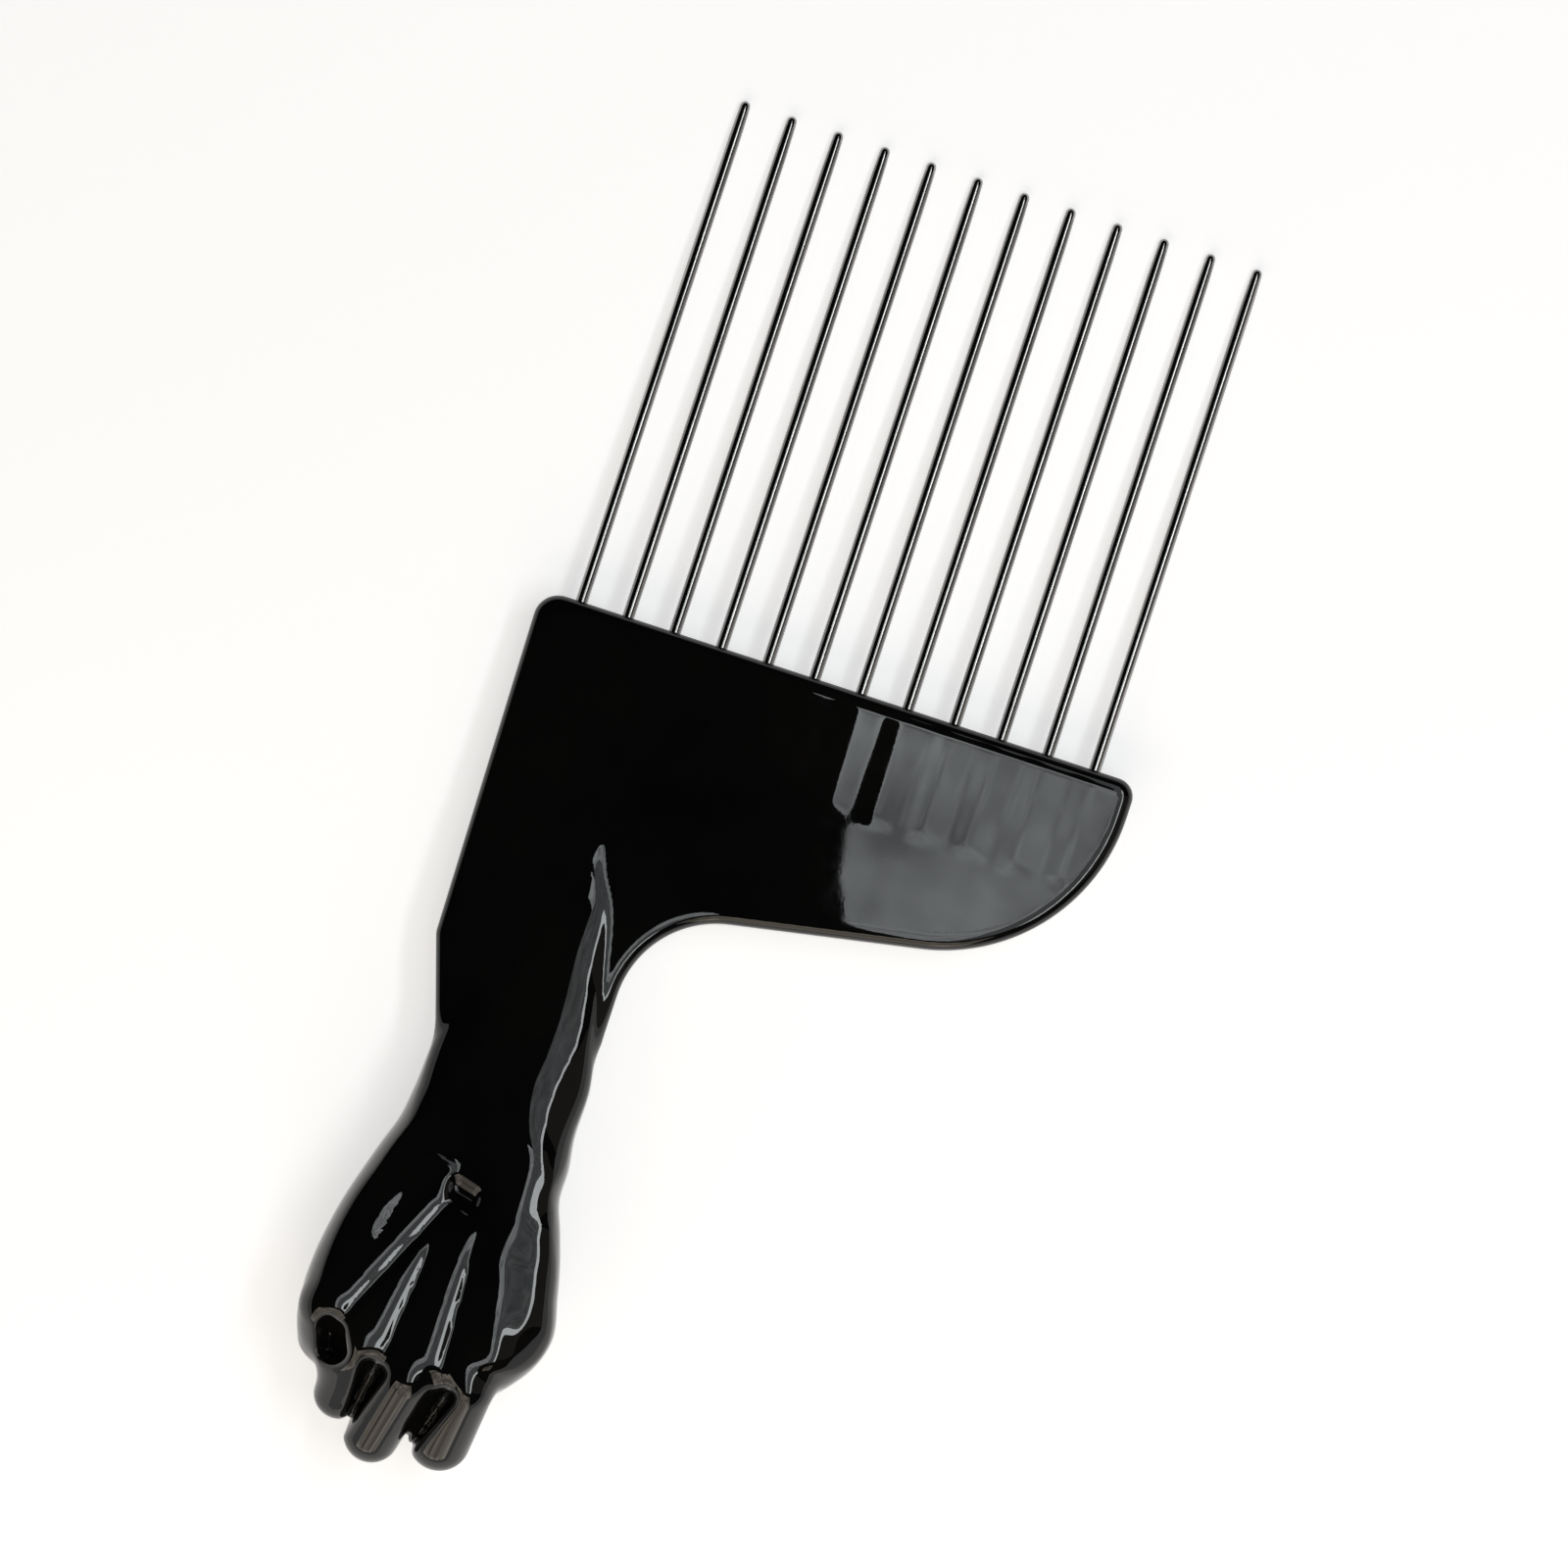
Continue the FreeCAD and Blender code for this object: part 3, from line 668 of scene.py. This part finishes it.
def addBump(nodes, links, height, depth, strength, under=None):
    bump = nodes.new("ShaderNodeBump")
    bump.inputs["Strength"].default_value = strength
    bump.inputs["Distance"].default_value = depth
    links.new(height, bump.inputs["Height"])
    if under:
        links.new(under, bump.inputs["Normal"])
    return bump.outputs["Normal"]


def addTint(nodes, links, value, low, high):
    ramp = nodes.new("ShaderNodeValToRGB")
    ramp.color_ramp.elements[0].position, ramp.color_ramp.elements[1].position = 0.35, 0.65
    ramp.color_ramp.elements[0].color = (*low, 1)
    ramp.color_ramp.elements[1].color = (*high, 1)
    links.new(value, ramp.inputs["Fac"])
    return ramp.outputs["Color"]


plastic = {
    "dark": (0.0022, 0.0022, 0.0024),
    "light": (0.0050, 0.0048, 0.0046),
    "roughness": (0.006, 0.022),
    "index": 1.5,
    "cloudScale": 60.0,
    "rubScale": 420.0,        # wear in the gloss
    "waveScale": 140.0,       # per metre: moulding waves some 7 mm long
    "waveDepth": 0.000004,
    "grainScale": 2600.0,
    "grainDepth": 0.0000002,
}


def blackPlastic():
    material, nodes, links, shader, place = newMaterial("black_gloss_plastic")
    cloud = addNoise(nodes, links, place, plastic["cloudScale"], 4.0)
    links.new(addTint(nodes, links, cloud, plastic["dark"], plastic["light"]), shader.inputs["Base Color"])
    rub = addNoise(nodes, links, place, plastic["rubScale"], 6.0)
    links.new(addRange(nodes, links, rub, *plastic["roughness"]), shader.inputs["Roughness"])
    wave = addNoise(nodes, links, place, plastic["waveScale"], 1.0)
    grain = addNoise(nodes, links, place, plastic["grainScale"], 2.0)
    waved = addBump(nodes, links, wave, plastic["waveDepth"], 1.0)
    links.new(addBump(nodes, links, grain, plastic["grainDepth"], 1.0, waved), shader.inputs["Normal"])
    shader.inputs["IOR"].default_value = plastic["index"]
    return material


steel = {
    "dark": (0.27, 0.265, 0.26),
    "light": (0.40, 0.39, 0.38),
    "roughness": (0.07, 0.13),
    "streaks": (2600.0, 60.0, 2600.0),   # drawn along the wire
    "depth": 0.000001,
}


def tineSteel():
    material, nodes, links, shader, place = newMaterial("bright_tine_steel")
    streak = addNoise(nodes, links, place, 1.0, 3.0, steel["streaks"])
    links.new(addTint(nodes, links, streak, steel["dark"], steel["light"]), shader.inputs["Base Color"])
    links.new(addRange(nodes, links, streak, *steel["roughness"]), shader.inputs["Roughness"])
    links.new(addBump(nodes, links, streak, steel["depth"], 0.6), shader.inputs["Normal"])
    shader.inputs["Metallic"].default_value = 1.0
    return material


# Studio

studio = {
    "floorColour": (0.80, 0.80, 0.80, 1),
    "floorGlow": 0.62,        # what the camera and mirrors see on top of the lit floor
    "floorRadius": 2.4,
    "rimSides": 96,
    "sweep": ((0.0, 0.0), (0.25, 0.08), (0.35, 0.30), (0.35, 0.75)),   # out and up from its rim
    "sky": 0.004,
}


def makeFloor():
    material = bpy.data.materials.new("pale_floor")
    material.use_nodes = True
    nodes, links = material.node_tree.nodes, material.node_tree.links
    nodes.clear()
    paths = nodes.new("ShaderNodeLightPath")
    seen = paths.outputs["Is Camera Ray"]
    for other in ("Is Glossy Ray", "Is Transmission Ray"):
        either = nodes.new("ShaderNodeMath")
        either.operation = "MAXIMUM"
        links.new(seen, either.inputs[0])
        links.new(paths.outputs[other], either.inputs[1])
        seen = either.outputs[0]
    level = nodes.new("ShaderNodeMath")
    level.operation = "MULTIPLY"
    level.inputs[1].default_value = studio["floorGlow"]
    links.new(seen, level.inputs[0])
    glow = nodes.new("ShaderNodeEmission")
    links.new(level.outputs[0], glow.inputs["Strength"])
    matt = nodes.new("ShaderNodeBsdfDiffuse")
    matt.inputs["Color"].default_value = studio["floorColour"]
    both = nodes.new("ShaderNodeAddShader")
    links.new(glow.outputs[0], both.inputs[0])
    links.new(matt.outputs[0], both.inputs[1])
    output = nodes.new("ShaderNodeOutputMaterial")
    links.new(both.outputs[0], output.inputs["Surface"])

    sides, radius = studio["rimSides"], studio["floorRadius"]
    points = [(0.0, 0.0, 0.0)]
    rows = [(radius + out, up) for out, up in studio["sweep"]]
    for reach, height in rows:
        for turn in np.linspace(0, 2 * math.pi, sides, endpoint=False):
            points.append((reach * math.cos(turn), reach * math.sin(turn), height))
    faces = [(0, 1 + side, 1 + (side + 1) % sides) for side in range(sides)]
    for row in range(len(rows) - 1):
        for side in range(sides):
            a, b = 1 + row * sides + side, 1 + row * sides + (side + 1) % sides
            faces.append((a, a + sides, b + sides, b))
    mesh = bpy.data.meshes.new("studio_floor")
    mesh.from_pydata(points, [], faces)
    mesh.materials.append(material)
    floor = bpy.data.objects.new("studio_floor", mesh)
    bpy.context.scene.collection.objects.link(floor)


lamps = {
    "softbox": {
        "place": (0.0905, -0.058, 0.80),
        "aim": (0.0905, -0.058, 0.0),
        "turn": 13.0,
        "size": (0.078, 0.46),
        "watts": 0.33,
        "colour": (0.93, 0.98, 1.0),
        "patches": (0.45, 55),    # unevenness: share, per metre
    },
    "dimPanel": {
        "place": (0.188, 0.136, 0.80),
        "aim": (0.188, 0.136, 0.0),
        "turn": 9.0,
        "size": (0.210, 0.83),
        "watts": 0.53,
        "colour": (0.93, 0.98, 1.0),
        "patches": (0.35, 30),
    },
    "strip": {
        "place": (0.346, 0.095, 0.80),
        "aim": (0.346, 0.095, 0.0),
        "turn": 9.0,
        "size": (0.090, 0.70),
        "watts": 1.60,
        "colour": (0.94, 0.98, 1.0),
        "patches": (0.10, 30),
    },
    "sidePanel": {
        "place": (0.70, 0.10, 0.60),
        "aim": (0.20, 0.05, 0.0),
        "turn": 0.0,
        "size": (0.50, 1.00),
        "watts": 0.24,
        "colour": (1.0, 0.92, 0.83),
        "patches": None,
    },
    "warmCard": {
        "place": (-0.04, -0.52, 0.36),
        "aim": (-0.02, -0.05, 0.10),
        "turn": 0.0,
        "size": (0.80, 0.60),
        "watts": 2.40,
        "colour": (1.0, 0.88, 0.74),
        "patches": (0.75, 9),
    },
}


def addPatches(data, share, scale):
    data.use_nodes = True
    nodes, links = data.node_tree.nodes, data.node_tree.links
    place = nodes.new("ShaderNodeNewGeometry").outputs["Position"]
    cloud = addNoise(nodes, links, place, 1.0, 2.0, (scale, scale, scale / 6))
    level = addRange(nodes, links, cloud, 1 - share, 1 + share)
    links.new(level, nodes["Emission"].inputs["Strength"])


def makeLamps():
    for name, lamp in lamps.items():
        data = bpy.data.lights.new(name, "AREA")
        data.shape = "RECTANGLE"
        data.size, data.size_y = lamp["size"]
        data.energy = lamp["watts"]
        data.color = lamp["colour"]
        if lamp["patches"]:
            addPatches(data, *lamp["patches"])
        piece = bpy.data.objects.new(name, data)
        piece.location = lamp["place"]
        facing = (Vector(lamp["aim"]) - Vector(lamp["place"])).to_track_quat("-Z", "Y").to_matrix()
        piece.rotation_euler = (Matrix.Rotation(math.radians(lamp["turn"]), 3, "Z") @ facing).to_euler()
        bpy.context.scene.collection.objects.link(piece)
    world = bpy.data.worlds.new("studio")
    world.use_nodes = True
    sky = world.node_tree.nodes["Background"]
    sky.inputs["Color"].default_value = (1, 1, 1, 1)
    sky.inputs["Strength"].default_value = studio["sky"]
    bpy.context.scene.world = world


view = {
    "turn": 18.2,             # degrees, as the comb leans in the picture
    "middle": (-2.7, -14.3),  # mm, flat, at the middle of the picture
    "width": 0.205,           # metres across the picture
    "lens": 300.0,
    "sensor": 36.0,
}


def makeCamera():
    data = bpy.data.cameras.new("camera")
    data.lens, data.sensor_width = view["lens"], view["sensor"]
    distance = view["width"] * view["lens"] / view["sensor"]
    middle = toFrame([(*view["middle"], 0)])[0]
    camera = bpy.data.objects.new("camera", data)
    camera.location = (middle[0], middle[1], distance)
    camera.rotation_euler = (0, 0, math.radians(view["turn"]))
    bpy.context.scene.collection.objects.link(camera)
    bpy.context.scene.camera = camera


handlePiece = makeHandle()
handlePiece.data.materials.append(blackPlastic())
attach(handlePiece, "root")
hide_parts("handle")

steelFinish = tineSteel()
for number in range(comb["count"]):
    tine = makeTine(number)
    tine.data.materials.append(steelFinish)
    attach(tine, "root")
    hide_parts(f"tine_{number + 1:02d}")
print("tines:", comb["count"])

makeFloor()
makeLamps()
makeCamera()
bpy.context.scene.view_settings.view_transform = "Standard"
print("studio: floor,", len(lamps), "lamps, camera")
